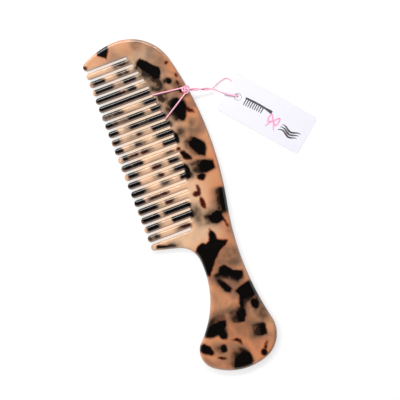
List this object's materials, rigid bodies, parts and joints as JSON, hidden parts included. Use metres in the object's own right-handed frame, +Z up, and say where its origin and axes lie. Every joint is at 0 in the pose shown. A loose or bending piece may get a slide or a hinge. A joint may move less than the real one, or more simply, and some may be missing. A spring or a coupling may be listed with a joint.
{
  "type": "hair comb",
  "caption": "Flat handled comb with rounded teeth between two guards, a bulb-ended handle, and a card swing tag hung from a knotted string looped round the teeth.",
  "frame": {"origin": "middle of the comb's underside: halfway along its length and halfway across its head, at the height of the surface it lies on", "axes": "+Y from the bulb of the handle to the nose of the head, teeth towards -X, +Z up out of the face that carries the string"},
  "size_m": [0.1059, 0.1849, 0.0072],
  "materials": {
    "acetate": "polished",
    "string": "matte",
    "card": "matte"
  },
  "bodies": {
    "comb": {"spine": "acetate", "nose_guard": "acetate", "heel_guard": "acetate", "teeth": "acetate", "handle": "acetate", "string_wrap": "string"},
    "bail": {"string_strands": "string", "knot": "string"},
    "loop": {"tag_loop": "string"},
    "tag": {"swing_tag": "card"}
  },
  "joints": [
    {"name": "bail_lift", "type": "hinge", "parent": "comb", "child": "bail", "pos_m": [0.00536, 0.05196, 0.0037], "axis": [0.13, -0.9915, 0], "range_deg": [0, 60]},
    {"name": "loop_lift", "type": "hinge", "parent": "bail", "child": "loop", "pos_m": [0.0217, 0.05545, 0.00595], "axis": [-0.3034, -0.9529, 0], "range_deg": [0, 60]},
    {"name": "tag_spin", "type": "hinge", "parent": "loop", "child": "tag", "pos_m": [0.0461, 0.04265, 0.00137], "axis": [0.0176, -0.0209, 0.9996], "range_deg": [-35, 35]}
  ]
}
